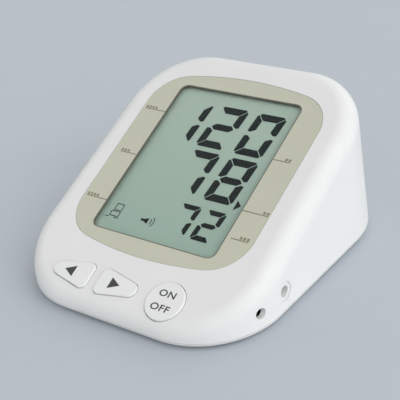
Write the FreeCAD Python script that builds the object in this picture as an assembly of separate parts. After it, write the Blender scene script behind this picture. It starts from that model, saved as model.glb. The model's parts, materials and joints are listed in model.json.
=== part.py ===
import FreeCAD, Part
import math
import os

# Wedge-shaped upper-arm blood pressure monitor, in millimetres.
# +X points to the user's right, +Y to the back, +Z up. The origin is on the table, under the body's middle.
# Pieces of the sloping panel are drawn flat first: x across, y up the slope from the panel's sharp front
# edge, z out of the panel. on_panel() then tilts them into place.

# Body shell
body_width = 120.0
body_depth = 131.0
corner_radius = 35.0
panel_tilt_deg = 24.5
front_edge_height = 9.4
top_edge_radius = 7.6
bottom_edge_radius = 3.0
wall_draft_deg = 2.0
shell_wall = 2.2
panel_wall = 3.2
floor_wall = 2.4
foot_lift = 1.2
seam_rise = 0.4
seam_groove_height = 0.35
seam_groove_depth = 0.3

# Shared fits and making aids
cut_overrun = 6.0
weld = 0.5
plane_tolerance = 0.001
seat_gap = 0.1

# Display stack
window_width = 64.0
window_length = 80.8
window_row = 74.9
window_corner = 3.5
bezel_side_margin = 13.3
bezel_back_margin = 8.4
bezel_front_margin = 8.5
bezel_corner = 18.0
bezel_end_bow = 2.6
bezel_thickness = 1.0
bezel_reveal = 0.1
bezel_gap = 0.15
lens_lap = 2.6
lens_gap = 0.5
lens_thickness = 1.0
lcd_lap = 2.0
lcd_gap = 0.2
lcd_thickness = 2.0
holder_rim = 2.0
holder_band = 6.0
holder_height = 2.6
strip_width = 2.0
strip_inset = 3.0

# Main circuit board
board_thickness = 1.2
board_side_margin = 7.0
board_back_margin = 4.2
board_start = 7.4
board_notch_gap = 0.8
board_inlet_gap = 0.2
board_wall_gap = 1.0
board_boss_radius = 2.7
board_boss_offset = 4.0
board_boss_inset = 14.0
board_screw_radius = 1.0
board_screw_length = 5.0
board_screw_head_radius = 1.9
board_screw_head_height = 1.3
screw_fit = 0.05

# Buttons, all on one row up the slope
button_row = 11.2
left_button_x = -25.6
right_button_x = -1.4
power_button_x = 23.2
button_proud = 0.8
button_travel = 0.8
button_gap = 0.25
button_edge_radius = 0.6
arrow_length = 20.0
arrow_base_height = 12.2
arrow_base_corner = 2.8
arrow_tip_radius = 3.4
power_button_radius = 8.7
flange_lip = 0.8
flange_thickness = 1.0
flange_clearance = 0.15
switch_side = 6.0
switch_height = 1.5
plunger_radius = 1.6
plunger_gap = 0.1
plunger_engage = 0.3
plunger_end_gap = 0.15

# Housing posts, screws and feet
post_radius = 3.5
post_wall_gap = 2.5
lower_boss_height = 1.4
housing_screw_radius = 1.45
housing_screw_length = 8.0
housing_screw_head_radius = 2.8
housing_screw_head_height = 1.6
screw_hole_gap = 0.25
screw_tip_gap = 0.4
counterbore_gap = 0.4
counterbore_depth = 1.8
drive_slot_width = 0.8
drive_slot_depth = 0.6
foot_radius = 5.0
foot_recess = 0.8
foot_recess_gap = 0.15
foot_edge_radius = 0.5
foot_side_inset = 10.0
foot_spacing = 72.0

# Battery bay: four cells side by side, lying front to back
cell_radius = 7.1
cell_length = 49.5
cell_nub_radius = 2.7
cell_nub_height = 1.0
cell_edge_radius = 0.6
cell_spacing = 14.8
cell_lift = 0.3
cell_count = 4
bay_side_gap = 0.4
bay_slack = 0.2
bay_wall = 1.6
bay_back_gap = 9.5
spring_length = 6.0
spring_radius = 4.2
spring_wire_radius = 0.35
spring_turns = 4
spring_end_gap = 0.05
contact_thickness = 0.4
contact_width = 10.0
contact_height = 11.0
cover_gap = 0.2
cover_tongue = 1.3
cover_tongue_height = 0.9
cover_tongue_gap = 0.15
cover_tongue_inset = 12.0
cover_grip_count = 5
cover_grip_length = 26.0
cover_grip_width = 1.2
cover_grip_pitch = 2.8
cover_grip_depth = 0.6
cover_grip_inset = 9.0
cover_tab_width = 16.0
cover_tab_length = 12.0
cover_tab_slit = 0.8
cover_tab_inset = 26.0

# Air pump on the bay's roof, its axis along X
pump_start_x = -26.0
pump_back_gap = 2.0
motor_radius = 10.0
motor_length = 25.0
motor_edge_radius = 1.0
motor_bearing_depth = 7.0
motor_cap_radius = 4.0
motor_cap_height = 1.5
shaft_radius = 1.0
shaft_gap = 0.05
shaft_reach = 7.0
eccentric_radius = 4.0
eccentric_offset = 1.0
eccentric_thickness = 3.0
eccentric_end_gap = 0.6
head_radius = 10.5
head_length = 16.0
head_wall = 1.5
head_end_wall = 2.0
diaphragm_thickness = 1.0
diaphragm_gap = 0.05
diaphragm_cup_radius = 3.0
diaphragm_cup_height = 1.6
diaphragm_cup_count = 3
diaphragm_cup_circle = 5.0
cradle_base = 1.5
cradle_height = 6.0
cradle_length = 16.0
cradle_side = 9.0
cradle_inset = 5.0

# Air line, its axis at one height
air_axis_height = 11.6
air_line_gap = 2.4
nipple_radius = 1.25
nipple_bore = 0.6
branch_bore = 0.45
nipple_length = 3.0
nipple_short = 1.5
tube_radius = 2.1
tube_bore = 1.3
tube_end_gap = 0.2
tube_lane = 8.4
tube_lane_drop = 12.0
manifold_x = 6.0
manifold_length = 20.0
manifold_width = 7.0
manifold_cap = 3.2
manifold_sensor_port = 6.0
manifold_socket_port = 12.0
sensor_side = 10.0
sensor_height = 3.5
sensor_bend_rise = 3.9

# Release valve
valve_x = -20.0
valve_length = 18.0
valve_width = 11.0
valve_plate = 1.2
coil_radius = 5.0
coil_end_gap = 0.1
valve_core_radius = 2.0
valve_core_gap = 0.08
valve_core_length = 13.0
valve_travel = 1.2
valve_stop_gap = 0.2

# Air socket in the right wall
socket_row = 39.5
socket_collar_radius = 4.0
socket_collar_gap = 0.15
socket_recess = 0.4
socket_bore_radius = 2.4
socket_bore_depth = 10.0
socket_flange_radius = 5.4
socket_flange_thickness = 1.5
socket_body_length = 7.5

# Power inlet in the right wall
inlet_row = 24.6
inlet_height = 10.3
inlet_bore_radius = 2.1
inlet_bore_depth = 9.0
inlet_body_length = 11.5
inlet_body_side = 7.0
inlet_setback = 0.8
inlet_pin_radius = 0.8
inlet_pin_length = 7.5
inlet_pin_root = 1.0
inlet_pin_root_radius = 1.3
wall_hole_gap = 0.15
inlet_rest_inset = 1.5

# Speaker over the grille in the floor
speaker_side_inset = 21.5
speaker_row = 36.5
speaker_radius = 12.0
speaker_rim_width = 1.6
speaker_rim_height = 1.2
speaker_frame_height = 3.0
speaker_magnet_radius = 6.5
speaker_magnet_height = 2.2
speaker_frame_wall = 0.8
speaker_cone_gap = 0.3
speaker_cone_wall = 0.4
grille_hole_radius = 0.9
grille_ring_pitch = 3.0
grille_ring_count = 2
grille_ring_step = 6

# Chips and capacitors under the board
controller_side = 14.0
controller_height = 1.4
controller_x = -12.0
controller_lead_gap = 11.8
voice_chip_width = 10.0
voice_chip_length = 6.0
voice_chip_height = 1.6
voice_chip_row = 62.0
capacitor_radius = 3.0
capacitor_height = 8.0
capacitor_spacing = 8.0
capacitor_row = 84.0
capacitor_edge_radius = 0.5

# Insulated leads from the units to the board
lead_radius = 0.55
lead_hole_gap = 0.15
lead_end_gap = 0.3
lead_side_gap = 0.25
lead_reach = 5.0
battery_lead_height = 11.4
motor_lead_spacing = 12.0
speaker_lead_spacing = 3.0
speaker_lead_offset = 3.5
valve_lead_spacing = 6.0
inlet_lead_spacing = 4.0
inlet_lead_drop = 2.2

# Derived places
tilt = math.radians(panel_tilt_deg)
draft_slope = math.tan(math.radians(wall_draft_deg))
half_width = body_width / 2
half_depth = body_depth / 2
base_z = foot_lift
floor_top = base_z + floor_wall
seam_z = floor_top + seam_rise
back_edge_height = front_edge_height + body_depth * math.tan(tilt)
panel_place = FreeCAD.Placement(
    FreeCAD.Vector(0, -half_depth, front_edge_height),
    FreeCAD.Rotation(FreeCAD.Vector(1, 0, 0), panel_tilt_deg),
)

# Levels below the panel's face
bezel_top = -bezel_reveal
bezel_under = bezel_top - bezel_thickness
lens_under = bezel_under - lens_thickness
lcd_top = lens_under - lcd_gap
lcd_under = lcd_top - lcd_thickness
board_top = lcd_under - holder_height
board_under = board_top - board_thickness
flange_top = -panel_wall - flange_clearance
flange_under = flange_top - flange_thickness
switch_top = board_top + switch_height
window_middle = window_row
window_start = window_middle - window_length / 2
window_end = window_middle + window_length / 2
lcd_width = window_width + 2 * lcd_lap
lcd_length = window_length + 2 * lcd_lap
holder_width = lcd_width + 2 * holder_rim
holder_length = lcd_length + 2 * holder_rim
board_half = holder_width / 2 + board_side_margin
board_end = window_middle + holder_length / 2 + board_back_margin

# Battery bay limits
bay_half = cell_count * cell_spacing / 2 + bay_side_gap
bay_back = half_depth - bay_back_gap
bay_length = cell_length + cell_nub_height + spring_length + 2 * contact_thickness + bay_slack
bay_front = bay_back - bay_length
cell_axis = floor_top + cell_lift + cell_radius
bay_ceiling = cell_axis + cell_radius + cell_lift
bay_roof = bay_ceiling + bay_wall

# Unit places
pump_y = bay_back - head_radius - pump_back_gap
pump_z = bay_roof + cradle_base + head_radius
motor_end = pump_start_x + motor_length
head_end = motor_end + head_length
air_y = bay_front - bay_wall - air_line_gap - valve_width / 2
socket_y = socket_row - half_depth
inlet_y = inlet_row - half_depth
speaker_x = speaker_side_inset - half_width
speaker_y = speaker_row - half_depth
post_bottom = floor_top + lower_boss_height
screw_seat = base_z + counterbore_depth


def vec(x, y, z):
    return FreeCAD.Vector(x, y, z)


def block(x_low, x_high, y_low, y_high, z_low, z_high):
    """Box between two corners."""
    return Part.makeBox(x_high - x_low, y_high - y_low, z_high - z_low, vec(x_low, y_low, z_low))


def rod(radius, start, end):
    """Round bar from one point to another."""
    return Part.makeCylinder(radius, (end - start).Length, start, end - start)


def line(start, end):
    return Part.LineSegment(start, end).toShape()


def arc(start, middle, end):
    return Part.Arc(start, middle, end).toShape()


def prism(outline, z_low, z_high):
    """Solid over a closed outline that lies at height 0."""
    face = Part.Face(outline)
    face.translate(vec(0, 0, z_low))
    return face.extrude(vec(0, 0, z_high - z_low))


def circle_hull(circles):
    """Outline drawn tight around circles (x, y, radius) that are listed anticlockwise."""
    count = len(circles)
    normals = []
    for index in range(count):
        x, y, radius = circles[index]
        next_x, next_y, next_radius = circles[(index + 1) % count]
        heading = math.atan2(next_y - y, next_x - x)
        span = math.hypot(next_x - x, next_y - y)
        normals.append(heading - math.acos((radius - next_radius) / span))
    edges = []
    for index in range(count):
        x, y, radius = circles[index]
        enter = normals[index - 1]
        leave = normals[index]
        turn = (leave - enter) % (2 * math.pi)
        points = []
        for angle in (enter, enter + turn / 2, leave):
            points.append(vec(x + radius * math.cos(angle), y + radius * math.sin(angle), 0))
        edges.append(arc(points[0], points[1], points[2]))
        next_x, next_y, next_radius = circles[(index + 1) % count]
        reach = vec(next_radius * math.cos(leave), next_radius * math.sin(leave), 0)
        edges.append(line(points[2], vec(next_x, next_y, 0) + reach))
    return Part.Wire(edges)


def rounded_outline(width, length, radius, middle_y=0):
    """Rectangle with round corners, centred across and on middle_y."""
    x = width / 2 - radius
    y = length / 2 - radius
    corners = [(-x, -y), (x, -y), (x, y), (-x, y)]
    return circle_hull([(corner_x, middle_y + corner_y, radius) for corner_x, corner_y in corners])


def bowed_outline(width, y_low, y_high, radius, bow):
    """Round-cornered rectangle whose two ends bow outwards and stay tangent to the corners."""
    x = width / 2 - radius
    swing = 2 * math.atan2(bow, x)
    high_y = y_high - bow - radius
    low_y = y_low + bow + radius
    rise = vec(radius * math.sin(swing), radius * math.cos(swing), 0)
    top_left = vec(-x - rise.x, high_y + rise.y, 0)
    top_right = vec(x + rise.x, high_y + rise.y, 0)
    low_left = vec(-x - rise.x, low_y - rise.y, 0)
    low_right = vec(x + rise.x, low_y - rise.y, 0)
    side_mid = math.pi / 4 + swing / 2
    shoulder = vec(radius * math.sin(side_mid), radius * math.cos(side_mid), 0)
    edges = [
        line(vec(width / 2, low_y, 0), vec(width / 2, high_y, 0)),
        arc(vec(width / 2, high_y, 0), vec(x + shoulder.x, high_y + shoulder.y, 0), top_right),
        arc(top_right, vec(0, y_high, 0), top_left),
        arc(top_left, vec(-x - shoulder.x, high_y + shoulder.y, 0), vec(-width / 2, high_y, 0)),
        line(vec(-width / 2, high_y, 0), vec(-width / 2, low_y, 0)),
        arc(vec(-width / 2, low_y, 0), vec(-x - shoulder.x, low_y - shoulder.y, 0), low_left),
        arc(low_left, vec(0, y_low, 0), low_right),
        arc(low_right, vec(x + shoulder.x, low_y - shoulder.y, 0), vec(width / 2, low_y, 0)),
    ]
    return Part.Wire(edges)


def on_panel(shape):
    """Tilt a flat-drawn shape into the panel's place."""
    return shape.transformed(panel_place.toMatrix())


def panel_point(x, slope, level):
    return panel_place.multVec(vec(x, slope, level))


def from_panel(point):
    """Flat-drawn coordinates of a point of the body."""
    return panel_place.inverse().multVec(point)


def board_row(y):
    """Place up the slope, on the board's underside, over a place front to back."""
    return (y + half_depth + board_under * math.sin(tilt)) / math.cos(tilt)


def board_underside(y):
    """Height of the board's underside over a place front to back."""
    return panel_point(0, board_row(y), board_under).z


def wall_inner_x(y, z):
    """Inner face of the right wall at a place front to back and a height."""
    reach = corner_radius - shell_wall - draft_slope * (z - base_z)
    past_corner = max(0, abs(y) - (half_depth - corner_radius))
    return half_width - corner_radius + math.sqrt(reach * reach - past_corner * past_corner)


def joined(shapes):
    """One solid out of touching shapes, without seams."""
    return shapes[0].fuse(shapes[1:]).removeSplitter()


def arc_by_corner(start, corner, end):
    """Arc that touches both lines from its ends to a corner point."""
    weight = math.cos((corner - start).getAngle(end - start))
    middle = (start + end + corner * (2 * weight)) * (1 / (2 + 2 * weight))
    return arc(start, middle, end)


def round_route(points):
    """Straight runs joined by tangent arcs, each as large as its two runs allow."""
    arc_share = 0.45
    edges = []
    start = points[0]
    for index in range(1, len(points) - 1):
        corner = points[index]
        back = points[index - 1] - corner
        ahead = points[index + 1] - corner
        tangent = arc_share * min(back.Length, ahead.Length)
        enter = corner + back.normalize() * tangent
        leave = corner + ahead.normalize() * tangent
        edges.append(line(start, enter))
        edges.append(arc_by_corner(enter, corner, leave))
        start = leave
    edges.append(line(start, points[-1]))
    return Part.Wire(edges)


def swept(points, radius):
    """Round bar along a route."""
    route = round_route(points)
    section = Part.Circle(points[0], points[1] - points[0], radius).toShape()
    return route.makePipeShell([Part.Wire(section)], True, False)


def air_tube(points):
    return swept(points, tube_radius).cut(swept(points, tube_bore))


def save(name, shapes):
    """Write one node, with each piece as a solid of its own."""
    solids = [solid for shape in shapes for solid in shape.Solids]
    whole = solids[0] if len(solids) == 1 else Part.makeCompound(solids)
    whole.exportStep(os.path.join("parts", name + ".step"))
    print(name, len(solids), "solids", round(whole.Volume, 1), "mm3", whole.isValid())


def drafted_block(inset, z_low, z_high):
    """Round-cornered block, drawn in by an inset, whose walls lean in with height."""
    low = corner_radius - inset - draft_slope * (z_low - base_z)
    high = corner_radius - inset - draft_slope * (z_high - base_z)
    x = half_width - corner_radius
    y = half_depth - corner_radius
    pieces = []
    for corner_x, corner_y in ((-x, -y), (x, -y), (x, y), (-x, y)):
        pieces.append(Part.makeCone(low, high, z_high - z_low, vec(corner_x, corner_y, z_low)))
    levels = ((-1, low, z_low), (1, low, z_low), (1, high, z_high), (-1, high, z_high))
    side = [vec(-x, turn * (y + reach), z) for turn, reach, z in levels]
    pieces.append(Part.Face(Part.makePolygon(side + side[:1])).extrude(vec(2 * x, 0, 0)))
    front = [vec(turn * (x + reach), -y, z) for turn, reach, z in levels]
    pieces.append(Part.Face(Part.makePolygon(front + front[:1])).extrude(vec(0, 2 * y, 0)))
    return joined(pieces)


def wedge(inset, drop, edge_radius, z_low):
    """Drafted block cut by the sloping panel, with the panel's edge rounded."""
    z_high = back_edge_height + cut_overrun
    body = drafted_block(inset, z_low, z_high)
    above = block(-body_width, body_width, -body_depth, 2 * body_depth, -drop, body_depth)
    body = body.cut(on_panel(above))
    rim = []
    for edge in body.Edges:
        points = [vertex.Point for vertex in edge.Vertexes] + [edge.CenterOfMass]
        if all(abs(from_panel(point).z + drop) < plane_tolerance for point in points):
            rim.append(edge)
    return body.makeFillet(edge_radius, rim).Solids[0]


def outer_body():
    body = wedge(0, 0, top_edge_radius, base_z)
    front_tangent = top_edge_radius / math.tan(math.pi / 4 + tilt / 2)
    front_wall = front_edge_height - front_tangent - base_z
    low_edges = [edge for edge in body.Edges if edge.BoundBox.ZMax < base_z + plane_tolerance]
    return body.makeFillet(min(bottom_edge_radius, front_wall), low_edges).Solids[0]


def inner_space():
    space = wedge(shell_wall, panel_wall, top_edge_radius - panel_wall, base_z - cut_overrun)
    below = block(-body_width, body_width, -body_depth, body_depth, base_z - 2 * cut_overrun, floor_top)
    return space.cut(below)


def post_places():
    """Middles of the four housing posts, on the diagonals of the round corners."""
    reach = (corner_radius - shell_wall - post_radius - post_wall_gap) * math.sqrt(1 / 2)
    x = half_width - corner_radius + reach
    y = half_depth - corner_radius + reach
    return [(-x, -y), (x, -y), (x, y), (-x, y)]


def board_boss_places():
    x = holder_width / 2 + board_boss_offset
    low = window_middle - holder_length / 2 + board_boss_inset
    high = window_middle + holder_length / 2 - board_boss_inset
    return [(-x, low), (x, low), (x, high), (-x, high)]


def arrow_outline(middle_x, side, grow):
    """Round-cornered triangle that points to one side, grown by a gap."""
    base_x = middle_x - side * (arrow_length / 2 - arrow_base_corner)
    tip_x = middle_x + side * (arrow_length / 2 - arrow_tip_radius)
    corner_y = arrow_base_height / 2 - arrow_base_corner
    base_radius = arrow_base_corner + grow
    tip = (tip_x, button_row, arrow_tip_radius + grow)
    low = (base_x, button_row - corner_y, base_radius)
    high = (base_x, button_row + corner_y, base_radius)
    if side > 0:
        return circle_hull([low, tip, high])
    return circle_hull([high, tip, low])


def power_outline(grow):
    ring = Part.Circle(vec(power_button_x, button_row, 0), vec(0, 0, 1), power_button_radius + grow)
    return Part.Wire(ring.toShape())


def button_outline(name, grow):
    if name == "left":
        return arrow_outline(left_button_x, -1, grow)
    if name == "right":
        return arrow_outline(right_button_x, 1, grow)
    return power_outline(grow)


button_places = {"left": left_button_x, "right": right_button_x, "power": power_button_x}


def upper_housing(outer, inner):
    above_seam = block(-body_width, body_width, -body_depth, body_depth, seam_z, back_edge_height)
    shell = outer.common(above_seam).cut(inner)
    posts = []
    for x, y in post_places():
        posts.append(rod(post_radius, vec(x, y, post_bottom), vec(x, y, back_edge_height)).common(outer))
    bosses = []
    for x, slope in board_boss_places():
        boss = rod(board_boss_radius, vec(x, slope, board_top), vec(x, slope, weld - panel_wall))
        bosses.append(on_panel(boss))
    housing = joined([shell] + posts + bosses)
    cuts = [on_panel(prism(bezel_outline(bezel_gap), bezel_under, cut_overrun))]
    opening = rounded_outline(
        lens_width() + 2 * lens_gap, lens_length() + 2 * lens_gap, window_corner, window_middle)
    cuts.append(on_panel(prism(opening, -panel_wall - weld, 0)))
    for name in button_places:
        cuts.append(on_panel(prism(button_outline(name, button_gap), -panel_wall - weld, cut_overrun)))
        pocket = button_outline(name, flange_lip + button_gap)
        cuts.append(on_panel(prism(pocket, flange_under - button_travel - weld, -panel_wall)))
    for x, y in post_places():
        tip = screw_seat + housing_screw_length + screw_tip_gap
        cuts.append(rod(housing_screw_radius + screw_fit, vec(x, y, post_bottom - weld), vec(x, y, tip)))
    pilot_tip = board_under + board_screw_length + screw_tip_gap
    for x, slope in board_boss_places():
        pilot_start = vec(x, slope, board_top - weld)
        pilot = rod(board_screw_radius + screw_fit, pilot_start, vec(x, slope, pilot_tip))
        cuts.append(on_panel(pilot))
    outside = half_width + cut_overrun
    inside = half_width - cut_overrun
    for y, z, radius in (
        (socket_y, air_axis_height, socket_collar_radius + socket_collar_gap),
        (inlet_y, inlet_height, inlet_bore_radius + wall_hole_gap),
    ):
        cuts.append(rod(radius, vec(inside, y, z), vec(outside, y, z)))
    return housing.cut(cuts)


def lens_width():
    return window_width + 2 * lens_lap


def lens_length():
    return window_length + 2 * lens_lap


def bezel_outline(grow):
    width = window_width + 2 * bezel_side_margin + 2 * grow
    start = window_start - bezel_front_margin - grow
    end = window_end + bezel_back_margin + grow
    return bowed_outline(width, start, end, bezel_corner + grow, bezel_end_bow)


def display_bezel():
    plate = prism(bezel_outline(0), bezel_under, bezel_top)
    window = rounded_outline(window_width, window_length, window_corner, window_middle)
    return on_panel(plate.cut(prism(window, bezel_under - weld, bezel_top + weld)))


def display_window():
    outline = rounded_outline(lens_width(), lens_length(), window_corner, window_middle)
    return on_panel(prism(outline, lens_under, bezel_under))


def lcd_panel():
    return on_panel(block(-lcd_width / 2, lcd_width / 2, window_middle - lcd_length / 2,
                          window_middle + lcd_length / 2, lcd_under, lcd_top))


def holder_hole():
    return holder_width / 2 - holder_band, holder_length / 2 - holder_band


def lcd_holder():
    half_x, half_y = holder_hole()
    outline = rounded_outline(holder_width, holder_length, window_corner, window_middle)
    frame = prism(outline, board_top, lcd_under)
    hole = block(-half_x, half_x, window_middle - half_y, window_middle + half_y, board_top - weld,
                 lcd_under + weld)
    return on_panel(frame.cut(hole))


def lcd_contact_strips():
    half_x, half_y = holder_hole()
    strips = []
    for side in (-1, 1):
        near = window_middle + side * half_y
        far = near - side * strip_width
        strip = block(strip_inset - half_x, half_x - strip_inset, min(near, far), max(near, far),
                      board_top, lcd_under)
        strips.append(on_panel(strip))
    return strips


def main_circuit_board():
    board = on_panel(block(-board_half, board_half, board_start, board_end, board_under, board_top))
    cuts = []
    for x, y in post_places():
        notch = rod(post_radius + board_notch_gap, vec(x, y, 0), vec(x, y, back_edge_height))
        cuts.append(notch)
    inlet_half = inlet_body_side / 2 + board_inlet_gap
    inlet_back = inlet_face_x() - inlet_body_length - board_inlet_gap
    cuts.append(block(inlet_back, half_width, inlet_y - inlet_half, inlet_y + inlet_half,
                      0, back_edge_height))
    for x, slope in board_boss_places():
        hole = rod(board_screw_radius + screw_hole_gap, vec(x, slope, board_under - weld), vec(x, slope, 0))
        cuts.append(on_panel(hole))
    room = drafted_block(shell_wall + board_wall_gap, base_z, back_edge_height)
    return board.cut(cuts).common(room)


def pan_screw(radius, length, head_radius, head_height):
    """Screw that points up, with the underside of its head at height 0 and a cross slot below."""
    head = Part.makeCylinder(head_radius, head_height, vec(0, 0, -head_height))
    shank = Part.makeCylinder(radius, length)
    screw = joined([head, shank])
    slot = block(-head_radius / 2, head_radius / 2, -drive_slot_width / 2, drive_slot_width / 2,
                 -head_height, drive_slot_depth - head_height)
    crossing = slot.copy()
    crossing.rotate(vec(0, 0, 0), vec(0, 0, 1), math.degrees(math.pi / 2))
    return screw.cut([slot, crossing])


def board_screws():
    screws = []
    for x, slope in board_boss_places():
        screw = pan_screw(board_screw_radius, board_screw_length, board_screw_head_radius,
                          board_screw_head_height)
        screw.translate(vec(x, slope, board_under))
        screws.append(on_panel(screw))
    return screws


def housing_screws():
    screws = []
    for x, y in post_places():
        screw = pan_screw(housing_screw_radius, housing_screw_length, housing_screw_head_radius,
                          housing_screw_head_height)
        screw.translate(vec(x, y, screw_seat))
        screws.append(screw)
    return screws


def button(name):
    """Key cap with a flange that the panel holds in."""
    cap = prism(button_outline(name, 0), flange_top, button_proud)
    rim = [edge for edge in cap.Edges if edge.BoundBox.ZMin > button_proud - plane_tolerance]
    cap = cap.makeFillet(button_edge_radius, rim)
    flange = prism(button_outline(name, flange_lip), flange_under, flange_top)
    return on_panel(joined([cap, flange]))


def switch_plunger(name):
    x = button_places[name]
    foot = switch_top - plunger_engage
    return on_panel(rod(plunger_radius, vec(x, button_row, foot), vec(x, button_row, flange_under)))


def switch_bodies():
    bodies = []
    for x in button_places.values():
        half = switch_side / 2
        body = block(x - half, x + half, button_row - half, button_row + half, board_top, switch_top)
        depth = plunger_engage + button_travel + plunger_end_gap
        well = rod(plunger_radius + plunger_gap, vec(x, button_row, switch_top - depth),
                   vec(x, button_row, switch_top + weld))
        bodies.append(on_panel(body.cut(well)))
    return bodies


def tray(outer, inner):
    """Lower part of the body under the seam, with a shadow groove along its top edge."""
    below_seam = block(-body_width, body_width, -body_depth, body_depth, 0, seam_z)
    floor = outer.common(below_seam).cut(inner)
    groove_low = seam_z - seam_groove_height
    wide = rounded_outline(body_width + cut_overrun, body_depth + cut_overrun, corner_radius)
    shrink = 2 * seam_groove_depth + 2 * draft_slope * (seam_z - base_z)
    narrow = rounded_outline(body_width - shrink, body_depth - shrink, corner_radius - shrink / 2)
    ring = prism(wide, groove_low, seam_z + weld).cut(prism(narrow, groove_low - weld, seam_z + 2 * weld))
    return floor.cut(ring)


def foot_places():
    x = half_width - foot_side_inset
    y = foot_spacing / 2
    return [(-x, -y), (x, -y), (x, y), (-x, y)]


def grille_places():
    places = [(speaker_x, speaker_y)]
    for ring in range(1, grille_ring_count + 1):
        count = ring * grille_ring_step
        for index in range(count):
            angle = 2 * math.pi * index / count
            reach = ring * grille_ring_pitch
            places.append((speaker_x + reach * math.cos(angle), speaker_y + reach * math.sin(angle)))
    return places


def tongue_levels():
    middle = (base_z + floor_top) / 2
    return middle - cover_tongue_height / 2, middle + cover_tongue_height / 2


def battery_lead_places():
    x = (cell_count - 1) * cell_spacing / 2
    return (-x, x)


def lower_housing(floor):
    bay_outer = bay_half + bay_wall
    adds = [block(-bay_outer, bay_outer, bay_front - bay_wall, bay_back + bay_wall,
                  floor_top - weld, bay_roof)]
    for x, y in post_places():
        adds.append(rod(post_radius, vec(x, y, floor_top - weld), vec(x, y, post_bottom)))
    rest_half = inlet_body_side / 2 - inlet_rest_inset
    rest_x = inlet_face_x() - inlet_body_length
    adds.append(block(rest_x + inlet_rest_inset, inlet_face_x() - inlet_rest_inset, inlet_y - rest_half,
                      inlet_y + rest_half, floor_top - weld, inlet_height - inlet_body_side / 2))
    housing = joined([floor] + adds)
    back = half_depth + cut_overrun
    cuts = [
        block(-bay_half, bay_half, bay_front, bay_back, 0, bay_ceiling),
        block(-bay_half, bay_half, bay_front, back, 0, floor_top + cover_gap),
        block(-bay_half, bay_half, bay_back + bay_wall, back, 0, seam_z + weld),
    ]
    groove_low, groove_high = tongue_levels()
    groove_half = bay_half + cover_tongue
    cuts.append(block(-groove_half, groove_half, bay_front, back, groove_low - cover_tongue_gap,
                      groove_high + cover_tongue_gap))
    for x, y in post_places():
        hole_radius = housing_screw_radius + screw_hole_gap
        cuts.append(rod(hole_radius, vec(x, y, 0), vec(x, y, post_bottom + weld)))
        cuts.append(rod(housing_screw_head_radius + counterbore_gap, vec(x, y, 0), vec(x, y, screw_seat)))
    for x, y in foot_places():
        cuts.append(rod(foot_radius + foot_recess_gap, vec(x, y, 0), vec(x, y, base_z + foot_recess)))
    for x, y in grille_places():
        cuts.append(rod(grille_hole_radius, vec(x, y, 0), vec(x, y, floor_top + weld)))
    for x in battery_lead_places():
        z = floor_top + battery_lead_height
        outside = vec(x, bay_front - bay_wall - weld, z)
        cuts.append(rod(lead_radius + lead_hole_gap, outside, vec(x, bay_front, z)))
    return housing.cut(cuts)


def battery_cover(floor):
    half = bay_half - cover_gap
    front = bay_front + cover_gap
    cover = floor.common(block(-half, half, front, body_depth, 0, seam_z - seat_gap))
    low, high = tongue_levels()
    tongues = []
    for side in (-1, 1):
        near = side * (half - weld)
        far = side * (bay_half + cover_tongue - cover_gap)
        tongues.append(block(min(near, far), max(near, far), front, half_depth - cover_tongue_inset,
                             low, high))
    cover = joined([cover] + tongues)
    cuts = []
    for index in range(cover_grip_count):
        y = half_depth - cover_grip_inset - index * cover_grip_pitch
        cuts.append(block(-cover_grip_length / 2, cover_grip_length / 2, y - cover_grip_width / 2,
                          y + cover_grip_width / 2, 0, base_z + cover_grip_depth))
    tab_end = half_depth - cover_tab_inset
    tab_start = tab_end - cover_tab_length
    tab_half = cover_tab_width / 2
    slit_top = floor_top + weld
    cuts.append(block(-tab_half, tab_half, tab_start - cover_tab_slit, tab_start, 0, slit_top))
    for side in (-1, 1):
        near = side * tab_half
        far = side * (tab_half - cover_tab_slit)
        cuts.append(block(min(near, far), max(near, far), tab_start - cover_tab_slit, tab_end, 0, slit_top))
    return cover.cut(cuts)


def rubber_feet():
    feet = []
    for x, y in foot_places():
        foot = rod(foot_radius, vec(x, y, 0), vec(x, y, base_z + foot_recess))
        rim = [edge for edge in foot.Edges if edge.BoundBox.ZMax < plane_tolerance]
        feet.append(foot.makeFillet(foot_edge_radius, rim))
    return feet


def cell_columns():
    """Each cell's place across, and the end that its plus pole faces: -1 front, 1 back."""
    columns = []
    for index in range(cell_count):
        x = (index - (cell_count - 1) / 2) * cell_spacing
        columns.append((x, -1 if index % 2 == 0 else 1))
    return columns


def contact_face(end):
    """Inner face of the contact plates at the bay's front (-1) or back (1)."""
    if end < 0:
        return bay_front + contact_thickness
    return bay_back - contact_thickness


def battery_cells():
    cells = []
    for x, plus in cell_columns():
        tip = contact_face(plus) - plus * bay_slack / 2
        shoulder = tip - plus * cell_nub_height
        foot = shoulder - plus * cell_length
        can = rod(cell_radius, vec(x, foot, cell_axis), vec(x, shoulder, cell_axis))
        rims = [edge for edge in can.Edges if len(edge.Vertexes) == 1]
        can = can.makeFillet(cell_edge_radius, rims)
        nub = rod(cell_nub_radius, vec(x, shoulder, cell_axis), vec(x, tip, cell_axis))
        cells.append(joined([can, nub]))
    return cells


def battery_contact_plates():
    """Series wiring: two joined pairs at the back, one joined pair and two end poles at the front."""
    columns = [x for x, plus in cell_columns()]
    groups = [(-1, columns[:1]), (-1, columns[1:3]), (-1, columns[3:]), (1, columns[:2]), (1, columns[2:])]
    plates = []
    for end, group in groups:
        wall = bay_front if end < 0 else bay_back
        face = contact_face(end)
        plates.append(block(group[0] - contact_width / 2, group[-1] + contact_width / 2, min(wall, face),
                            max(wall, face), cell_axis - contact_height / 2, cell_axis + contact_height / 2))
    return plates


def helix_point(radius, pitch, angle):
    return vec(radius * math.cos(angle), radius * math.sin(angle), pitch * angle / (2 * math.pi))


def helix_heading(radius, pitch, angle):
    heading = vec(-radius * math.sin(angle), radius * math.cos(angle), pitch / (2 * math.pi))
    return heading.normalize()


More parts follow.
